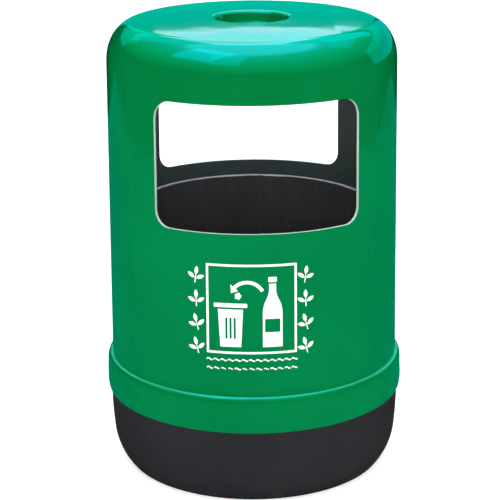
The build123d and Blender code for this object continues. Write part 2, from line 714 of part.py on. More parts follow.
def bail_wire():
    """Bow with a bend and a short straight end through each ear, upset behind the bridge."""
    head_x = EAR_FACE_X - EAR_WALL - REST_GAP - BAIL_HEAD_DEPTH
    bend_x = BAIL_RADIUS - BAIL_BEND
    path = Plane.XZ * Wire(
        [
            Line((head_x, 0), (bend_x, 0)).edge(),
            CenterArc((bend_x, BAIL_BEND), BAIL_BEND, -90, 90).edge(),
            CenterArc((0, BAIL_BEND), BAIL_RADIUS, 0, 180).edge(),
            CenterArc((-bend_x, BAIL_BEND), BAIL_BEND, 180, 90).edge(),
            Line((-bend_x, 0), (-head_x, 0)).edge(),
        ]
    )
    profile = Plane(origin=(head_x, 0, 0), z_dir=(1, 0, 0)) * Circle(BAIL_WIRE_RADIUS)
    wire = sweep(profile, path)
    for side in (-1, 1):
        x = side * (head_x + BAIL_HEAD_DEPTH / 2)
        wire += Pos(x, 0, 0) * Rot(0, 90, 0) * Cylinder(BAIL_HEAD_RADIUS, BAIL_HEAD_DEPTH)
    return laid_down(wire)


def bail_grip():
    """Fluted sleeve on the middle of the bail."""
    half = degrees(GRIP_LENGTH / 2 / BAIL_RADIUS)
    outline = Circle(GRIP_RADIUS) - Circle(BAIL_WIRE_RADIUS)
    blank = Pos(BAIL_RADIUS, 0) * outline
    sleeve = revolve(Plane.XZ * blank, Axis.Z, 2 * half)
    upright = Pos(0, 0, BAIL_BEND) * Rot(90, 0, 0) * Rot(0, 0, 90 - half) * sleeve
    return laid_down(upright)


# ---------------------------------------------------------------------------
# Lock
# ---------------------------------------------------------------------------
def lock_frame(y):
    """Plane across the lock's axis at depth y, facing the front."""
    return Plane(origin=(0, y, LOCK_Z), x_dir=(1, 0, 0), z_dir=(0, -1, 0))


def lock_housing():
    flange_face = SEAT_POCKET_Y + HOUSING_FLANGE_DEPTH
    body = disc_along_y(HOUSING_RADIUS, HOUSING_END_Y, SEAT_POCKET_Y, z=LOCK_Z)
    flange = disc_along_y(HOUSING_FLANGE_RADIUS, SEAT_POCKET_Y, flange_face, z=LOCK_Z)
    outer_edge = flange.edges().group_by(Axis.Y)[-1]
    flange = chamfer(outer_edge, HOUSING_FLANGE_DEPTH / 3)
    bore = disc_along_y(PLUG_RADIUS + PLUG_FIT, HOUSING_END_Y - 1, flange_face + 1, z=LOCK_Z)
    head_room = disc_along_y(
        PLUG_HEAD_RADIUS + PLUG_SIDE_FIT,
        flange_face - PLUG_HEAD_DEPTH - PLUG_SIDE_FIT,
        flange_face + 1,
        z=LOCK_Z,
    )
    return body + flange - bore - head_room


def lock_washer():
    washer = disc_along_y(WASHER_RADIUS, BOSS_FACE_Y - WASHER_DEPTH, BOSS_FACE_Y, z=LOCK_Z)
    return washer - disc_along_y(HOUSING_RADIUS, BOSS_FACE_Y - 9, BOSS_FACE_Y + 1, z=LOCK_Z)


def lock_nut():
    face = BOSS_FACE_Y - WASHER_DEPTH
    hexagon = RegularPolygon(NUT_FLATS / 2, 6, major_radius=False)
    nut = extrude(lock_frame(face) * hexagon, NUT_DEPTH)
    blank = disc_along_y(NUT_FLATS / 2 * 1.12, face - NUT_DEPTH, face, z=LOCK_Z)
    blank = chamfer(blank.edges().group_by(Axis.Y)[0], 1)
    nut = nut & blank
    return nut - disc_along_y(HOUSING_RADIUS, face - NUT_DEPTH - 1, face + 1, z=LOCK_Z)


def lock_plug():
    face = SEAT_POCKET_Y + HOUSING_FLANGE_DEPTH
    head = disc_along_y(PLUG_HEAD_RADIUS, face - PLUG_HEAD_DEPTH, face, z=LOCK_Z)
    stem = disc_along_y(PLUG_RADIUS, CAM_FACE_Y, face - PLUG_HEAD_DEPTH, z=LOCK_Z)
    square = extrude(lock_frame(CAM_FACE_Y) * Rectangle(CAM_SQUARE, CAM_SQUARE), CAM_DEPTH)
    key = extrude(lock_frame(face) * RegularPolygon(KEY_SIDE / 2, 3), KEY_DEPTH)
    tapped = disc_along_y(
        SCREW_RADIUS, CAM_WASHER_Y, CAM_WASHER_Y - CAM_WASHER_DEPTH + SCREW_LENGTH, z=LOCK_Z
    )
    return head + stem + square - key - tapped


def lock_cam():
    """Flat cam, pointing down when the lock is open."""
    outline = Circle(CAM_WIDTH / 2) + Pos(0, -(CAM_REACH - CAM_WIDTH / 4) / 2) * Rectangle(
        CAM_WIDTH, CAM_REACH - CAM_WIDTH / 4
    )
    tip = Pos(0, -(CAM_REACH - CAM_WIDTH / 4)) * Ellipse(CAM_WIDTH / 2, CAM_WIDTH / 4)
    outline = outline + tip - Rectangle(CAM_SQUARE, CAM_SQUARE)
    return extrude(lock_frame(CAM_FACE_Y) * outline, CAM_DEPTH)


def cam_washer():
    """Plain washer between the screw's head and the cam."""
    washer = disc_along_y(CAM_WASHER_RADIUS, CAM_WASHER_Y - CAM_WASHER_DEPTH, CAM_WASHER_Y, z=LOCK_Z)
    return washer - disc_along_y(SCREW_RADIUS, CAM_WASHER_Y - 9, CAM_WASHER_Y + 1, z=LOCK_Z)


def lock_screw():
    seat = CAM_WASHER_Y - CAM_WASHER_DEPTH
    head = disc_along_y(SCREW_HEAD_RADIUS, seat - SCREW_HEAD_DEPTH, seat, z=LOCK_Z)
    head = fillet(head.edges().group_by(Axis.Y)[0], SCREW_HEAD_DEPTH / 3)
    shank = disc_along_y(SCREW_RADIUS, seat, seat + SCREW_LENGTH, z=LOCK_Z)
    recess = extrude(
        lock_frame(seat - SCREW_HEAD_DEPTH).offset(-SCREW_HEAD_DEPTH * 0.6)
        * RegularPolygon(SCREW_RADIUS, 6),
        SCREW_HEAD_DEPTH,
    )
    return head + shank - recess


# ---------------------------------------------------------------------------
# Files
# ---------------------------------------------------------------------------
NODES = {
    "hood_shell": hood_shell,
    "base_shell": base_shell,
    "anchor_ring": anchor_ring,
    "anchor_rivets": anchor_rivets,
    "keeper": keeper,
    "keeper_rivets": keeper_rivets,
    "liner_body": liner_body,
    "liner_rim_wire": liner_rim_wire,
    "liner_bottom": liner_bottom,
    "liner_ears": liner_ears,
    "ear_rivets": ear_rivets,
    "bail_wire": bail_wire,
    "bail_grip": bail_grip,
    "lock_housing": lock_housing,
    "lock_washer": lock_washer,
    "lock_nut": lock_nut,
    "lock_plug": lock_plug,
    "lock_cam": lock_cam,
    "cam_washer": cam_washer,
    "lock_screw": lock_screw,
}


def main():
    os.makedirs("parts", exist_ok=True)
    for name, make in NODES.items():
        export_step(make(), f"parts/{name}.step")


main()
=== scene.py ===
import json
import math

import bmesh
import bpy
from mathutils import Matrix, Vector
from mathutils.geometry import tessellate_polygon


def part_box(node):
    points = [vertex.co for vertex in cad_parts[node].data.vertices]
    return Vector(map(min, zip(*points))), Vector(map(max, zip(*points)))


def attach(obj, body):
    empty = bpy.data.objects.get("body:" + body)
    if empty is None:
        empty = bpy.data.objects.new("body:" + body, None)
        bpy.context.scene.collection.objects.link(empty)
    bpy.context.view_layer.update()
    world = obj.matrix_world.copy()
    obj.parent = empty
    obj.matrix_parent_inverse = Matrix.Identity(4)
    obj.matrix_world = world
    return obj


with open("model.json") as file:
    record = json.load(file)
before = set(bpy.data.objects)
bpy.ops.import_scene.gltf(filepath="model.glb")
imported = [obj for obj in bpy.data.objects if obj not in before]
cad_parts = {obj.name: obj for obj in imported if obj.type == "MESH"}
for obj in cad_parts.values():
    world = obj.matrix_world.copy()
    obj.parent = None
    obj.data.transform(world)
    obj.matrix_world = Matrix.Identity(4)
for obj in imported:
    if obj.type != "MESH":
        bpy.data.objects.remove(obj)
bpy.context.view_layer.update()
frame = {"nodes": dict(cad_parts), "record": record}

# ---------------------------------------------------------------------------
# Shader kit
# ---------------------------------------------------------------------------


class Value:
    """A number in a shader tree. Ordinary arithmetic on it adds Math nodes."""

    def __init__(self, finish, socket):
        self.finish = finish
        self.socket = socket

    def __add__(self, other):
        return self.finish.maths("ADD", self, other)

    __radd__ = __add__

    def __sub__(self, other):
        return self.finish.maths("SUBTRACT", self, other)

    def __rsub__(self, other):
        return self.finish.maths("SUBTRACT", other, self)

    def __mul__(self, other):
        return self.finish.maths("MULTIPLY", self, other)

    def __truediv__(self, other):
        return self.finish.maths("DIVIDE", self, other)


class Finish:
    """A material with one Principled shader and the nodes behind it."""

    def __init__(self, name, **constants):
        self.material = bpy.data.materials.new(name)
        self.material.use_nodes = True
        self.tree = self.material.node_tree
        self.shader = self.tree.nodes["Principled BSDF"]
        self.wear(**constants)

    def feed(self, socket, value):
        if isinstance(value, Value):
            self.tree.links.new(value.socket, socket)
        else:
            socket.default_value = value

    def node(self, kind, settings=None, output=0, **inputs):
        """Any node: its settings first, then its sockets by name or by position (s0, s1 ...)."""
        node = self.tree.nodes.new(kind)
        for name, value in (settings or {}).items():
            setattr(node, name, value)
        for name, value in inputs.items():
            positional = name[0] == "s" and name[1:].isdigit()
            socket = node.inputs[int(name[1:])] if positional else node.inputs[name]
            self.feed(socket, value)
        return Value(self, node.outputs[output])

    def maths(self, operation, *values):
        sockets = {f"s{i}": value for i, value in enumerate(values)}
        return self.node("ShaderNodeMath", {"operation": operation}, **sockets)

    def place(self):
        """Object coordinates in metres."""
        return self.node("ShaderNodeTexCoord", output="Object")

    def squeezed(self, factors):
        """Object coordinates with each axis times its factor."""
        return self.node(
            "ShaderNodeVectorMath", {"operation": "MULTIPLY"}, s0=self.place(), s1=factors
        )

    def parts(self, vector):
        """The three numbers of a vector."""
        node = self.tree.nodes.new("ShaderNodeSeparateXYZ")
        self.tree.links.new(vector.socket, node.inputs[0])
        return [Value(self, node.outputs[i]) for i in range(3)]

    def noise(self, scale, detail=2.0, roughness=0.5, vector=None, distortion=0.0):
        return self.node(
            "ShaderNodeTexNoise",
            Vector=vector or self.place(),
            Scale=scale,
            Detail=detail,
            Roughness=roughness,
            Distortion=distortion,
        )

    def step(self, value, low, high):
        """Smooth mask that goes from 0 at low to 1 at high."""
        return self.node(
            "ShaderNodeMapRange",
            {"interpolation_type": "SMOOTHSTEP"},
            s0=value,
            s1=low,
            s2=high,
            s3=0.0,
            s4=1.0,
        )

    def mix(self, amount, first, second):
        """Mix of two colours."""
        return self.node(
            "ShaderNodeMix",
            {"data_type": "RGBA"},
            output=2,
            s0=amount,
            s6=first,
            s7=second,
        )

    def bump(self, height, depth):
        """Normal bent by a height; depth is in metres for a height of 1."""
        return self.node("ShaderNodeBump", Height=height, Distance=depth, Strength=1.0)

    def wear(self, **sockets):
        """Link or set the Principled shader's sockets."""
        for name, value in sockets.items():
            socket = name.replace("_", " ").title().replace("Ior", "IOR")
            self.feed(self.shader.inputs[socket], value)
        return self.material


DISPLAY_GAMMA = 2.2


def linear(red, green, blue):
    """Shader colour from display values of 0 to 255."""
    return tuple((c / 255) ** DISPLAY_GAMMA for c in (red, green, blue)) + (1.0,)


# ---------------------------------------------------------------------------
# Camera, stage and light
# ---------------------------------------------------------------------------
# The camera's distance from the bin's axis, height and lens, and where it looks
VIEW_DISTANCE = 2.568
VIEW_HEIGHT = 1.1156
VIEW_AZIMUTH = math.radians(-2.1)
VIEW_PITCH = math.radians(17.13)
VIEW_YAW = math.radians(0.109)
VIEW_ROLL = math.radians(-0.46)
LENS_MM = 126.9
SENSOR_MM = 36.0


def add_camera():
    data = bpy.data.cameras.new("camera")
    data.lens = LENS_MM
    data.sensor_width = SENSOR_MM
    camera = bpy.data.objects.new("camera", data)
    turn = (
        Matrix.Rotation(VIEW_AZIMUTH + VIEW_YAW, 4, "Z")
        @ Matrix.Rotation(math.pi / 2 - VIEW_PITCH, 4, "X")
        @ Matrix.Rotation(VIEW_ROLL, 4, "Z")
    )
    spot = Vector(
        (
            math.sin(VIEW_AZIMUTH) * VIEW_DISTANCE,
            -math.cos(VIEW_AZIMUTH) * VIEW_DISTANCE,
            VIEW_HEIGHT,
        )
    )
    camera.matrix_world = Matrix.Translation(spot) @ turn
    bpy.context.scene.collection.objects.link(camera)
    bpy.context.scene.camera = camera


FLOOR_HALF = 12.0
PAPER_GLOW = 0.45


def add_floor():
    """Pale paper with a little glow of its own, so that the foot's shadow stays soft."""
    mesh = bpy.data.meshes.new("floor")
    corners = [(x * FLOOR_HALF, y * FLOOR_HALF, 0) for x, y in ((-1, -1), (1, -1), (1, 1), (-1, 1))]
    mesh.from_pydata(corners, [], [(0, 1, 2, 3)])
    floor = bpy.data.objects.new("floor", mesh)
    bpy.context.scene.collection.objects.link(floor)
    paper = Finish(
        "pale_paper",
        roughness=0.9,
        specular_ior_level=0.0,
        emission_color=(1, 1, 1, 1),
        emission_strength=PAPER_GLOW,
    )
    shade = paper.noise(3.0, 3.0) * 0.03 + 0.88
    colour = paper.node("ShaderNodeCombineColor", s0=shade, s1=shade, s2=shade)
    paper.wear(base_color=colour)
    mesh.materials.append(paper.material)
    floor.visible_glossy = False


def receivers(name, nodes):
    """The parts that a light reaches."""
    group = bpy.data.collections.new(name)
    for node in nodes:
        group.objects.link(frame["nodes"][node])
    return group


def add_light(name, spot, aim, size, radiance, group=None, gloss=True):
    """Rectangular softbox. Radiance is a colour, as it looks in a mirror.
    A gloss light shows in shine only; any other lights matt surfaces only."""
    data = bpy.data.lights.new(name, "AREA")
    data.shape = "RECTANGLE"
    data.size, data.size_y = size
    data.energy = math.pi * size[0] * size[1]
    data.color = radiance
    light = bpy.data.objects.new(name, data)
    direction = (Vector(aim) - Vector(spot)).normalized()
    light.rotation_euler = direction.to_track_quat("-Z", "Y").to_euler()
    light.location = spot
    bpy.context.scene.collection.objects.link(light)
    light.visible_diffuse = not gloss
    light.visible_glossy = gloss
    light.visible_camera = False
    light.light_linking.receiver_collection = group
    return light


# The overhead glow's colour, by the distance from its middle as a share of its half width
GLOW = [
    (0.0, (0.03, 0.82, 1.0, 1)),
    (0.12, (0.02, 0.8, 0.98, 1)),
    (0.16, (0.0, 0.46, 0.42, 1)),
    (0.2, (0.0, 0.37, 0.3, 1)),
    (0.29, (0.0, 0.28, 0.17, 1)),
    (0.47, (0.0, 0.17, 0.075, 1)),
    (0.6, (0.0, 0.115, 0.045, 1)),
    (0.8, (0.0, 0.07, 0.025, 1)),
    (1.0, (0.0, 0.0, 0.0, 1)),
]
GLOW_STRENGTH = 5.0
GLOW_HEIGHT = 2.6
GLOW_SIZE = 16.0


def fade_out(light):
    """Let a softbox fade from its middle to its edge, as GLOW says."""
    light.data.use_nodes = True
    tree = light.data.node_tree
    glow = tree.nodes["Emission"]
    across = tree.nodes.new("ShaderNodeNewGeometry")
    centre = tree.nodes.new("ShaderNodeVectorMath")
    centre.operation = "SUBTRACT"
    centre.inputs[1].default_value = (0.5, 0.5, 0)
    reach = tree.nodes.new("ShaderNodeVectorMath")
    reach.operation = "LENGTH"
    ramp = tree.nodes.new("ShaderNodeValToRGB")
    while len(ramp.color_ramp.elements) < len(GLOW):
        ramp.color_ramp.elements.new(0.5)
    for element, (share, colour) in zip(ramp.color_ramp.elements, GLOW):
        element.position = share / 2    # the light's own coordinates run from 0 to 1 across it
        element.color = colour
    tree.links.new(across.outputs["Parametric"], centre.inputs[0])
    tree.links.new(centre.outputs["Vector"], reach.inputs[0])
    tree.links.new(reach.outputs["Value"], ramp.inputs["Fac"])
    tree.links.new(ramp.outputs["Color"], glow.inputs["Color"])
    glow.inputs["Strength"].default_value = GLOW_STRENGTH


# Strength of the surrounding light. It is SKY_SIDES from the sides, up to directions with a Z of
# SKY_SIDES_HEIGHT, and rises to SKY_TOP for those with a Z of SKY_TOP_HEIGHT or more.
SKY_SIDES = 0.42
SKY_SIDES_HEIGHT = 0.6
SKY_TOP = 2.6
SKY_TOP_HEIGHT = 0.97


def add_world():
    """Even light for matt surfaces, stronger from above, dark in shine and white behind."""
    world = bpy.data.worlds.new("tent")
    bpy.context.scene.world = world
    world.use_nodes = True
    tree = world.node_tree
    fill = tree.nodes["Background"]
    way = tree.nodes.new("ShaderNodeTexCoord")
    axes = tree.nodes.new("ShaderNodeSeparateXYZ")
    above = tree.nodes.new("ShaderNodeMapRange")
    above.interpolation_type = "SMOOTHSTEP"
    above.inputs["From Min"].default_value = SKY_SIDES_HEIGHT
    above.inputs["From Max"].default_value = SKY_TOP_HEIGHT
    above.inputs["To Min"].default_value = SKY_SIDES
    above.inputs["To Max"].default_value = SKY_TOP
    fill.inputs["Color"].default_value = (1, 1, 1, 1)
    tree.links.new(way.outputs["Generated"], axes.inputs[0])
    tree.links.new(axes.outputs["Z"], above.inputs["Value"])
    tree.links.new(above.outputs[0], fill.inputs["Strength"])
    seen = tree.nodes.new("ShaderNodeLightPath")
    before = fill.outputs[0]
    for ray, shade in (("Is Glossy Ray", 0.0), ("Is Camera Ray", 1.0)):
        plain = tree.nodes.new("ShaderNodeBackground")
        plain.inputs["Color"].default_value = (shade, shade, shade, 1)
        either = tree.nodes.new("ShaderNodeMixShader")
        tree.links.new(seen.outputs[ray], either.inputs[0])
        tree.links.new(before, either.inputs[1])
        tree.links.new(plain.outputs[0], either.inputs[2])
        before = either.outputs[0]
    tree.links.new(before, tree.nodes["World Output"].inputs["Surface"])
    world.cycles.sampling_method = "NONE"


# Places that lights face
ROOF = (0.0, -0.12, 0.69)
MIDDLE = (0.0, 0.0, 0.35)
FOOT = (0.0, 0.0, 0.0)
UP = (0.0, 0.0, 1.0)
# Softboxes that show in the hood's shine: name, place, what it faces, width and height, radiance
HOOD_PANELS = [
    ("back_panel", (0.0, 1.913, 2.758), ROOF, (1.05, 2.077), (0.85, 1.5, 2.5)),
    ("crown_low", (0.08, 2.6, 1.335), (0.08, 0.0, 1.335), (0.64, 0.08), (0.95, 1.1, 1.6)),
    ("crown_panel", (0.08, 2.6, 1.735), (0.08, 0.0, 1.735), (0.64, 0.72), (0.55, 1.0, 1.5)),
    ("crown_end", (0.43, 2.6, 1.275), (0.43, 0.0, 1.275), (0.1, 0.07), (0.8, 1.1, 1.6)),
    ("low_back", (0.0, 3.3, 1.36), (0.0, 0.0, 1.36), (1.6, 2.06), (0.0, 0.78, 0.66)),
    ("left_glow", (-1.5, 2.6, 1.96), ROOF, (2.2, 1.1), (0.0, 0.66, 0.6)),
    ("right_glow", (2.15, 2.08, 1.3), ROOF, (3.6, 1.45), (0.0, 0.84, 0.8)),
    ("left_wing", (-1.14, 1.87, 2.62), ROOF, (1.3, 1.45), (0.0, 0.7, 1.0)),
    ("right_wing", (1.0, 2.0, 2.62), ROOF, (1.5, 1.45), (0.0, 1.1, 1.7)),
    ("right_side", (1.81, 0.96, 2.88), ROOF, (1.7, 0.8), (0.0, 0.6, 0.8)),
    ("front_left", (-1.5, -0.95, 3.1), ROOF, (1.7, 1.7), (0.0, 1.6, 2.4)),
    ("front_low", (-0.95, -1.95, 2.95), ROOF, (1.2, 1.6), (0.0, 0.9, 1.3)),
    ("ground_glow", (0.0, 0.0, 0.004), UP, (4.6, 4.6), (0.0, 0.24, 0.17)),
]
TENT_FACES = (0.0, 0.0, 0.4)
# The same for everything but the hood
TENT_PANELS = [
    ("ground_soft", (0.0, 0.0, 0.005), UP, (6.0, 6.0), (0.06, 0.06, 0.06)),
    ("tent_top", (0.0, 0.0, 2.6), FOOT, (3.0, 3.0), (1.2, 1.2, 1.2)),
    ("tent_front", (-1.5, -3.0, 1.2), TENT_FACES, (2.0, 2.2), (0.6, 0.6, 0.6)),
    ("tent_back", (1.5, 3.0, 1.2), TENT_FACES, (2.0, 2.2), (0.6, 0.6, 0.6)),
    ("tent_left", (-3.0, 0.8, 1.2), TENT_FACES, (1.6, 2.2), (0.6, 0.6, 0.6)),
    ("tent_right", (3.0, -0.8, 1.2), TENT_FACES, (1.6, 2.2), (0.6, 0.6, 0.6)),
]
# Softboxes that light matt surfaces only
FILLS = [
    ("front_fill", (-0.12, -3.2, 1.35), MIDDLE, (0.5, 0.4), (70.0, 70.0, 70.0)),
    ("inside_fill", (0.0, 0.0, 0.63), FOOT, (0.2, 0.2), (8.0, 8.0, 8.0)),
    ("left_fill", (-3.2, -0.4, 1.0), MIDDLE, (1.4, 1.4), (3.5, 3.5, 3.5)),
    ("right_fill", (3.2, -0.4, 1.0), MIDDLE, (1.4, 1.4), (3.5, 3.5, 3.5)),
]


def set_stage():
    """Camera, floor and light. The hood has shine lights of its own."""
    add_camera()
    add_floor()
    add_world()
    bpy.context.scene.view_settings.view_transform = "Standard"
    hood = receivers("lit_hood", ["hood_shell"])
    rest = receivers("lit_rest", [node for node in frame["nodes"] if node != "hood_shell"])
    glow = add_light("glow", (0, 0, GLOW_HEIGHT), FOOT, (GLOW_SIZE, GLOW_SIZE), (1, 1, 1), hood)
    fade_out(glow)
    for panel in HOOD_PANELS:
        add_light(*panel, group=hood)
    for panel in TENT_PANELS:
        add_light(*panel, group=rest)
    for fill in FILLS:
        add_light(*fill, gloss=False)


# ---------------------------------------------------------------------------
# Finishes
# ---------------------------------------------------------------------------
def heights(node):
    """Lowest and highest place of a part."""
    low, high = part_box(node)
    return low[2], high[2]


RIM_TOP = heights("liner_body")[1]
LOCK_LOW, LOCK_HIGH = heights("lock_plug")
OPENINGS = {o["name"]: o["box_m"] for o in frame["record"]["physics"]["openings"]}
# The mouths' cut edges lie between these heights, and fade in and out over EDGE_BLEND
EDGE_BLEND = 0.004
SILL = OPENINGS["front_mouth"][0][2] - EDGE_BLEND
LINTEL = OPENINGS["front_mouth"][1][2] + EDGE_BLEND
LEDGE_HIGHLIGHT_TOP = OPENINGS["cam_room"][1][2] + 0.03    # top of the painted highlight, just above the ledge
DISH_RIM = 0.057                                # the roof's recess is inside this radius
TURNING_MARKS = 9000.0                          # phase of the marks, in radians per metre
GLAZE_IOR = 1.9                                 # more than resin has, for the wax's deep shine


def ridges(finish, scale, sharp, squeeze=(1, 1, 1)):
    """Thin crossing lines, as chopped strands show through a coat."""
    waves = finish.noise(scale, 2.0, 0.6, vector=finish.squeezed(squeeze), distortion=1.4)
    away = finish.maths("ABSOLUTE", waves - 0.5)
    return 1.0 - finish.step(away, 0.0, sharp)


def green_gelcoat():
    """Polished green outside, dark flow coat inside, bare laminate where the mouths are cut."""
    coat = Finish("green_gelcoat", ior=GLAZE_IOR)
    x, y, z = coat.parts(coat.place())
    nx, ny, nz = coat.parts(coat.node("ShaderNodeTexCoord", output="Normal"))
    radius = coat.maths("SQRT", x * x + y * y)
    outward = (x * nx + y * ny) / radius
    inward = 0.0 - outward
    downward = 0.0 - nz

    inner_wall = coat.step(inward, 0.3, 0.5) * coat.step(radius, DISH_RIM, DISH_RIM + 0.003)
    under_roof = coat.step(downward, 0.3, 0.5) * coat.step(z, LINTEL + 0.002, LINTEL + 0.006)
    inside = coat.maths("MAXIMUM", inner_wall, under_roof)
    above_sill = coat.step(z, SILL - EDGE_BLEND, SILL)
    level = above_sill * (1.0 - coat.step(z, LINTEL, LINTEL + EDGE_BLEND))
    cut = coat.step(coat.maths("ABSOLUTE", outward), 0.55, 0.4) * level

    cloud = coat.noise(5.0, 3.0)
    green = coat.mix(coat.step(cloud, 0.3, 0.7), linear(3, 102, 52), linear(6, 108, 57))
    dust = coat.step(coat.noise(55.0, 5.0, 0.7), 0.62, 0.78)
    green = coat.mix(dust * 0.08, green, linear(60, 130, 100))
    strands = ridges(coat, 95.0, 0.035, (1, 1, 0.6))
    flow = coat.mix(strands * 0.35, linear(46, 53, 55), linear(60, 68, 70))
    fibre = ridges(coat, 420.0, 0.06, (1, 1, 3))
    bare = coat.mix(fibre, linear(172, 188, 182), linear(140, 165, 155))
    # Painted highlight: pale teal along the top of the ledge, standing in for the overhead light's
    # reflection there
    ledge = coat.step(nz, 0.7, 0.95) * coat.step(LEDGE_HIGHLIGHT_TOP - z, 0.0, 0.005)
    ledge_highlight = ledge * (0.35 + coat.noise(60.0, 4.0) * 0.4)
    green = coat.mix(ledge_highlight, green, linear(70, 200, 170))
    colour = coat.mix(cut, coat.mix(inside, green, flow), bare)

    scuff = ridges(coat, 26.0, 0.006, (1, 1, 0.25)) * coat.step(coat.noise(9.0), 0.5, 0.7)
    polish = 0.05 + coat.noise(35.0, 4.0) * 0.025 + scuff * 0.12
    dull = coat.maths("MAXIMUM", inside * 0.6, cut * 0.85)
    rough = coat.maths("MAXIMUM", polish, dull)

    skin = coat.noise(13.0, 1.0) * 0.0006 + coat.noise(420.0, 2.0) * 0.00001
    height = skin * (1.0 - inside) + strands * inside * 0.00025 + fibre * cut * 0.0001
    return coat.wear(base_color=colour, roughness=rough, normal=coat.bump(height, 1.0))


def charcoal_gelcoat():
    """Semi-gloss charcoal, splashed near the ground."""
    coat = Finish("charcoal_gelcoat")
    cloud = coat.noise(7.0, 3.0)
    colour = coat.mix(coat.step(cloud, 0.3, 0.7), linear(36, 37, 41), linear(41, 41, 45))
    z = coat.parts(coat.place())[2]
    splash = coat.step(coat.noise(38.0, 6.0, 0.7), 0.5, 0.75) * (1.0 - coat.step(z, 0.0, 0.07))
    colour = coat.mix(splash * 0.3, colour, linear(74, 70, 66))
    scuff = ridges(coat, 30.0, 0.008, (1, 1, 0.3)) * coat.step(coat.noise(8.0), 0.5, 0.7)
    rough = 0.4 + coat.noise(35.0, 4.0) * 0.12 + scuff * 0.15 + splash * 0.2
    height = coat.noise(420.0, 2.0) * 0.00003 - scuff * 0.00003
    return coat.wear(base_color=colour, roughness=rough, normal=coat.bump(height, 1.0))


def black_coating(name, wear_and_sheen_from=None):
    """Satin black on sheet steel. Above a given height the rim turns pale lavender grey: partly
    zinc worn bare, partly a painted highlight.
    """
    coat = Finish(name)
    cloud = coat.noise(11.0, 4.0)
    colour = coat.mix(coat.step(cloud, 0.3, 0.7), linear(41, 41, 42), linear(45, 45, 46))
    rub = coat.step(coat.noise(90.0, 4.0, 0.6, vector=coat.squeezed((1, 1, 0.08))), 0.5, 0.75)
    colour = coat.mix(rub * 0.15, colour, linear(70, 70, 74))
    rough = 0.45 + coat.noise(60.0, 4.0) * 0.15 - rub * 0.1
    if wear_and_sheen_from is not None:
        # Partly wear, partly painted highlight: the rolled rim turns pale lavender grey and
        # shinier, for zinc worn bare and for the rim's highlight
        z = coat.parts(coat.place())[2]
        patchy = z + (coat.noise(60.0, 3.0) - 0.5) * 0.003
        worn = coat.step(patchy, wear_and_sheen_from, wear_and_sheen_from + 0.0012)
        colour = coat.mix(worn, colour, linear(128, 124, 140))
        rough = coat.maths("MINIMUM", rough, 1.0 - worn * 0.62)
    return coat.wear(
        base_color=colour, roughness=rough, normal=coat.bump(coat.noise(700.0), 0.00003)
    )


def zinc():
    """Zinc coating with its spangle."""
    metal = Finish("zinc_plate", metallic=0.85)
    spangle = metal.node(
        "ShaderNodeTexVoronoi", {"feature": "F1"}, output="Color", Vector=metal.place(), Scale=110.0
    )
    tone = metal.parts(spangle)[0]
    colour = metal.mix(tone, (0.42, 0.43, 0.45, 1), (0.6, 0.61, 0.62, 1))
    stain = metal.step(metal.noise(24.0, 5.0, 0.65), 0.55, 0.75)
    colour = metal.mix(stain * 0.35, colour, (0.3, 0.3, 0.3, 1))
    rough = 0.32 + tone * 0.12 + stain * 0.2
    return metal.wear(
        base_color=colour, roughness=rough, normal=metal.bump(metal.noise(500.0), 0.00002)
    )


def nickel():
    """Satin plating with fine turning marks round the lock's axis."""
    metal = Finish("satin_nickel", metallic=1.0)
    x, y, z = metal.parts(metal.place())
    height = z - (LOCK_HIGH + LOCK_LOW) / 2
    spread = metal.maths("SQRT", x * x + height * height)
    marks = metal.maths("SINE", spread * TURNING_MARKS)
    tint = metal.noise(120.0, 3.0)
    colour = metal.mix(tint, (0.66, 0.63, 0.57, 1), (0.74, 0.72, 0.68, 1))
    rough = 0.22 + tint * 0.12
    return metal.wear(base_color=colour, roughness=rough, normal=metal.bump(marks, 0.000008))


def grip_sleeve():
    """Matt moulded sleeve."""
    sleeve = Finish("grip_sleeve", roughness=0.6)
    cloud = sleeve.noise(80.0, 3.0)
    colour = sleeve.mix(cloud, linear(38, 38, 38), linear(48, 48, 47))
    rough = 0.55 + cloud * 0.15
    return sleeve.wear(
        base_color=colour, roughness=rough, normal=sleeve.bump(sleeve.noise(900.0), 0.00005)
    )


def print_ink():
    """White screen print, thin enough that the green grins through in places."""
    ink = Finish("print_ink")
    thin = ink.step(ink.noise(260.0, 4.0, 0.7), 0.5, 0.8)
    worn = ink.step(ink.noise(70.0, 5.0, 0.7), 0.66, 0.72)
    colour = ink.mix(thin * 0.25, linear(238, 244, 246), linear(190, 222, 208))
    colour = ink.mix(worn * 0.7, colour, linear(40, 146, 96))
    rough = 0.4 + thin * 0.2
    return ink.wear(base_color=colour, roughness=rough, normal=ink.bump(thin, 0.00002))


FINISH_OF_SLOT = {
    "green_gelcoat": green_gelcoat(),
    "charcoal_gelcoat": charcoal_gelcoat(),
    "black_coated_steel": black_coating("black_coating"),
    "galvanised_steel": zinc(),
    "plated_lock": nickel(),
    "black_grip": grip_sleeve(),
}
RIM_WEAR_AND_SHEEN_DEPTH = 0.0022    # the bucket's rolled rim is worn bare, with a painted highlight, this far down
FINISH_OF_NODE = {"liner_body": black_coating("bucket_coating", RIM_TOP - RIM_WEAR_AND_SHEEN_DEPTH)}


def dress_cad_nodes():
    """Give every part its finish."""
    slots = {p["node"]: p["material_slot"] for p in frame["record"]["subparts"]}
    for name, piece in frame["nodes"].items():
        piece.data.materials.clear()
        piece.data.materials.append(FINISH_OF_NODE.get(name) or FINISH_OF_SLOT[slots[name]])


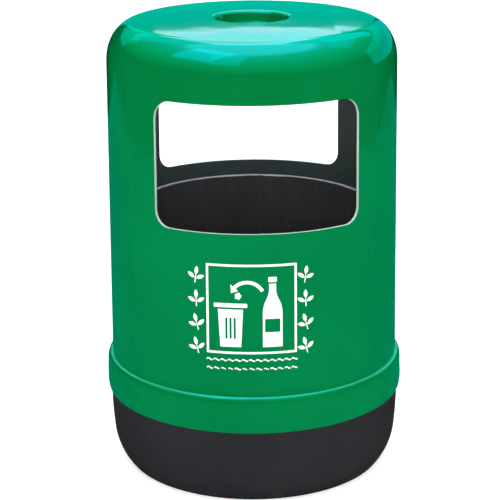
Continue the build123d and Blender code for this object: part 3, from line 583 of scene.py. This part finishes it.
# ---------------------------------------------------------------------------
# Print on the front of the hood: drawn flat, then laid on the wall
# ---------------------------------------------------------------------------
# Drawings are in millimetres, across and up from the middle of the frame
PRINT_MIDDLE = (-11.0, 302.5)   # the frame's middle, from the hood's axis and the ground
FRAME_HALF = (65.0, 66.5)
FRAME_LINE = 3.2
CUT_PITCH = 5.0                 # a flat piece is cut this often, so that it can bend
INK_DEPTH = 0.00015             # metres
WALL_RADIUS = 0.217             # metres, about that of the wall where the print is
SPRIG_LEAN = 0.3                # radians, either way
WAVE_STRETCH = (0.7, 1.05)      # shortest and longest wave of the lower row


def on_circle(centre, radius, degrees):
    """Point on a circle."""
    turn = math.radians(degrees)
    return (centre[0] + radius * math.cos(turn), centre[1] + radius * math.sin(turn))


def arc(centre, radius, start, finish, count):
    """Points on an arc, angles in degrees."""
    step = finish - start
    return [on_circle(centre, radius, start + step * i / (count - 1)) for i in range(count)]


def rounded_box(left, low, right, high, corner):
    """Box outline with round corners."""
    middles = ((right, high, 0), (left, high, 90), (left, low, 180), (right, low, 270))
    outline = []
    for x, z, start in middles:
        centre = (
            x - corner if x == right else x + corner,
            z - corner if z == high else z + corner,
        )
        outline += arc(centre, corner, start, start + 90, 5)
    return outline


def bin_drawing():
    """Open bin with three slots in its side."""
    lid = rounded_box(-54, 3, -6, 9, 1.5)
    body = [(-48, 0), (-12, 0), (-15, -56), (-45, -56)]
    slots = [rounded_box(x - 1.6, -44, x + 1.6, -12, 1.5) for x in (-36, -30, -24)]
    return [[lid], [body] + slots]


def bottle_drawing():
    """Bottle with its cap, and a gap where its label would be."""
    right = [(14, -56), (14, -2), (12, 8), (6.5, 20), (5, 27), (5, 38)]
    body = [(30 + x, z) for x, z in right] + [(30 - x, z) for x, z in reversed(right)]
    cap = rounded_box(24, 40.5, 36, 48, 1.2)
    band = rounded_box(19, -34, 41, -14, 2)
    return [[body, band], [cap]]


def arrow_drawing():
    """Curved arrow from the bottle to the bin, and a crumpled ball before its point."""
    hub = (-6, 16)
    start, neck, point = 28, 138, 160
    shaft = arc(hub, 27, start, neck, 16) + arc(hub, 22, neck, start, 16)
    head = [on_circle(hub, 31.5, neck), on_circle(hub, 24.5, point), on_circle(hub, 17.5, neck)]
    crumple = (5.2, 4.2, 5.6, 4.6, 5.4, 4.0, 5.5, 4.4, 5.7, 4.1)
    ball = [on_circle((-19, 20), r, i * 360 // len(crumple)) for i, r in enumerate(crumple)]
    return [[shaft], [head], [ball]]


def frame_drawing():
    """Plain square frame."""
    wide, tall = FRAME_HALF
    outer = rounded_box(-wide, -tall, wide, tall, 1.0)
    inner = rounded_box(
        FRAME_LINE - wide, FRAME_LINE - tall, wide - FRAME_LINE, tall - FRAME_LINE, 0.5
    )
    return [[outer, inner]]


def sprig_drawing():
    """Sprig of three leaves on a stem, about 25 mm high."""

    def leaf(foot, turn, length):
        side = arc((0, -length * 0.45), length * 0.67, 42, 138, 9)
        other = arc((0, length * 0.45), length * 0.67, 222, 318, 9)
        slim = [(x * 0.98 + length / 2, z * 0.98) for x, z in side + other]
        spin = math.radians(turn)
        return [
            (
                foot[0] + x * math.cos(spin) - z * math.sin(spin),
                foot[1] + x * math.sin(spin) + z * math.cos(spin),
            )
            for x, z in slim
        ]

    stem = [(-0.8, -12), (0.8, -12), (0.5, 0), (-0.5, 0)]
    return [
        [leaf((0, 0), 90, 13)],
        [leaf((1.2, -5), 30, 13)],
        [leaf((-1.2, -5), 150, 13)],
        [stem],
    ]


def wave_drawing():
    """Small wave, one of a row."""
    upper = arc((-1.7, -1.2), 2.8, 150, 30, 7) + arc((3.2, 2.2), 2.9, 215, 300, 6)
    lower = [(x, z - 2.0) for x, z in reversed(upper)]
    return [[upper + lower]]


def flat_piece(name, drawing):
    """Flat mesh of a drawing in the XZ plane, facing the front, cut so that it can bend."""
    sheet = bmesh.new()
    for loops in drawing:
        rings = [[Vector((x / 1000, 0, z / 1000)) for x, z in loop] for loop in loops]
        points = [sheet.verts.new(point) for ring in rings for point in ring]
        for corners in tessellate_polygon(rings):
            face = sheet.faces.new([points[i] for i in corners])
            face.normal_update()
            if face.normal.y > 0:
                face.normal_flip()
    reach = max(abs(vert.co.x) for vert in sheet.verts)
    steps = int(reach * 1000 / CUT_PITCH)
    for i in range(-steps, steps + 1):
        bmesh.ops.bisect_plane(
            sheet,
            geom=sheet.verts[:] + sheet.edges[:] + sheet.faces[:],
            plane_co=(i * CUT_PITCH / 1000, 0, 0),
            plane_no=(1, 0, 0),
        )
    mesh = bpy.data.meshes.new(name)
    sheet.to_mesh(mesh)
    sheet.free()
    piece = bpy.data.objects.new(name, mesh)
    bpy.context.scene.collection.objects.link(piece)
    return piece


class Tree:
    """Geometry node tree with named inputs."""

    def __init__(self, name, inputs):
        self.group = bpy.data.node_groups.new(name, "GeometryNodeTree")
        face = self.group.interface
        face.new_socket("Geometry", in_out="INPUT", socket_type="NodeSocketGeometry")
        self.sockets = {}
        for label, kind in inputs.items():
            made = face.new_socket(label, in_out="INPUT", socket_type="NodeSocket" + kind)
            self.sockets[label] = made.identifier
        face.new_socket("Geometry", in_out="OUTPUT", socket_type="NodeSocketGeometry")
        self.start = self.group.nodes.new("NodeGroupInput")
        self.end = self.group.nodes.new("NodeGroupOutput")

    def given(self, label):
        return self.start.outputs[label]

    def add(self, kind, settings=None, output=0, **inputs):
        """A node: settings first, then sockets by position (s0, s1 ...) or by name.
        A kind after a colon is a full name; any other is the end of a geometry node's name."""
        node = self.group.nodes.new("GeometryNode" + kind if ":" not in kind else kind[1:])
        for name, value in (settings or {}).items():
            setattr(node, name, value)
        for name, value in inputs.items():
            positional = name[0] == "s" and name[1:].isdigit()
            key = int(name[1:]) if positional else name.replace("_", " ")
            for one in value if isinstance(value, list) else [value]:
                if isinstance(one, bpy.types.NodeSocket):
                    self.group.links.new(one, node.inputs[key])
                else:
                    node.inputs[key].default_value = one
        return node.outputs[output]

    def maths(self, operation, first, second=0.0):
        return self.add(":ShaderNodeMath", {"operation": operation}, s0=first, s1=second)

    def vector(self, x, y, z):
        return self.add(":ShaderNodeCombineXYZ", s0=x, s1=y, s2=z)

    def any_of(self, low, high, seed):
        """A random number for each copy."""
        draw = {"data_type": "FLOAT"}
        return self.add(":FunctionNodeRandomValue", draw, output=1, s2=low, s3=high, Seed=seed)

    def row(self, count, start, step, motif, turn=(0.0, 0.0, 0.0), size=None):
        """Copies of a motif on a line."""
        line = self.add("MeshLine", s0=count, s2=start, s3=step)
        shape = self.add("ObjectInfo", output="Geometry", s0=motif)
        extra = {"Scale": size} if size is not None else {}
        return self.add("InstanceOnPoints", s0=line, Instance=shape, Rotation=turn, **extra)


def print_tree():
    """Frame and picture, two columns of sprigs and two rows of waves, laid on the wall."""
    tree = Tree(
        "print_on_wall",
        {
            "Wall": "Object",
            "Sprig": "Object",
            "Wave": "Object",
            "Sprigs": "Int",
            "Sprig Pitch": "Float",
            "Left Column": "Vector",
            "Right Column": "Vector",
            "Waves": "Int",
            "Wave Pitch": "Float",
            "Upper Row": "Vector",
            "Lower Row": "Vector",
            "Middle": "Vector",
            "Wall Radius": "Float",
            "Ink Depth": "Float",
            "Seed": "Int",
            "Ink": "Material",
        },
    )
    given = tree.given
    down = tree.vector(0.0, 0.0, given("Sprig Pitch"))
    along = tree.vector(given("Wave Pitch"), 0.0, 0.0)
    sway = tree.vector(0.0, tree.any_of(-SPRIG_LEAN, SPRIG_LEAN, given("Seed")), 0.0)
    stretch = tree.any_of(*WAVE_STRETCH, given("Seed"))
    size = tree.vector(stretch, 1.0, stretch)
    parts = [
        given("Geometry"),
        tree.row(given("Sprigs"), given("Left Column"), down, given("Sprig"), sway),
        tree.row(given("Sprigs"), given("Right Column"), down, given("Sprig"), sway),
        tree.row(given("Waves"), given("Upper Row"), along, given("Wave")),
        tree.row(given("Waves"), given("Lower Row"), along, given("Wave"), size=size),
    ]
    flat = tree.add("RealizeInstances", s0=tree.add("JoinGeometry", s0=parts))
    flat = tree.add("SetPosition", s0=flat, Offset=given("Middle"))

    place = tree.group.nodes.new("ShaderNodeSeparateXYZ")
    tree.group.links.new(tree.add("InputPosition"), place.inputs[0])
    turn = tree.maths("DIVIDE", place.outputs["X"], given("Wall Radius"))
    out_x = tree.maths("SINE", turn)
    out_y = tree.maths("MULTIPLY", tree.maths("COSINE", turn), -1.0)
    far = tree.vector(out_x, out_y, place.outputs["Z"])
    inward = tree.vector(
        tree.maths("MULTIPLY", out_x, -1.0), tree.maths("MULTIPLY", out_y, -1.0), 0.0
    )
    wall = tree.add("ObjectInfo", output="Geometry", s0=given("Wall"))
    hit = tree.add(
        "Raycast",
        output="Hit Position",
        Target_Geometry=wall,
        Source_Position=far,
        Ray_Direction=inward,
        Ray_Length=2.0,
    )
    laid = tree.add("SetPosition", s0=flat, Position=hit)
    raised = tree.add("ExtrudeMesh", s0=laid, Offset_Scale=given("Ink Depth"), Individual=False)
    back = tree.add("FlipFaces", s0=laid)
    solid = tree.add("JoinGeometry", s0=[raised, back])
    solid = tree.add("MergeByDistance", s0=solid, Distance=0.000002)
    solid = tree.add("RealizeInstances", s0=solid)
    inked = tree.add("SetMaterial", s0=solid, Material=given("Ink"))
    tree.group.links.new(inked, tree.end.inputs[0])
    return tree


def print_on_hood():
    """Make the print as one plain mesh and let it ride on the hood."""
    drawing = frame_drawing() + bin_drawing() + bottle_drawing() + arrow_drawing()
    picture = flat_piece("picture_flat", drawing)
    sprig = flat_piece("sprig_flat", sprig_drawing())
    wave = flat_piece("wave_flat", wave_drawing())
    tree = print_tree()
    values = {
        "Wall": frame["nodes"]["hood_shell"],
        "Sprig": sprig,
        "Wave": wave,
        "Sprigs": 4,
        "Sprig Pitch": -0.0352,
        "Left Column": (-0.0805, 0.0, 0.048),
        "Right Column": (0.0785, 0.0, 0.048),
        "Waves": 13,
        "Wave Pitch": 0.0102,
        "Upper Row": (-0.0612, 0.0, -0.0755),
        "Lower Row": (-0.0612, 0.0, -0.0885),
        "Middle": (PRINT_MIDDLE[0] / 1000, 0.0, PRINT_MIDDLE[1] / 1000),
        "Wall Radius": WALL_RADIUS,
        "Ink Depth": INK_DEPTH,
        "Seed": 7,
        "Ink": print_ink(),
    }
    press = picture.modifiers.new("press", "NODES")
    press.node_group = tree.group
    for label, value in values.items():
        press[tree.sockets[label]] = value
    view = bpy.context.evaluated_depsgraph_get()
    mesh = bpy.data.meshes.new_from_object(picture.evaluated_get(view))
    mesh.name = "hood_print"
    picture.modifiers.remove(press)
    for flat in (picture, sprig, wave):
        bpy.data.objects.remove(flat)
    piece = bpy.data.objects.new("hood_print", mesh)
    bpy.context.scene.collection.objects.link(piece)
    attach(piece, "hood")


set_stage()
dress_cad_nodes()
print_on_hood()
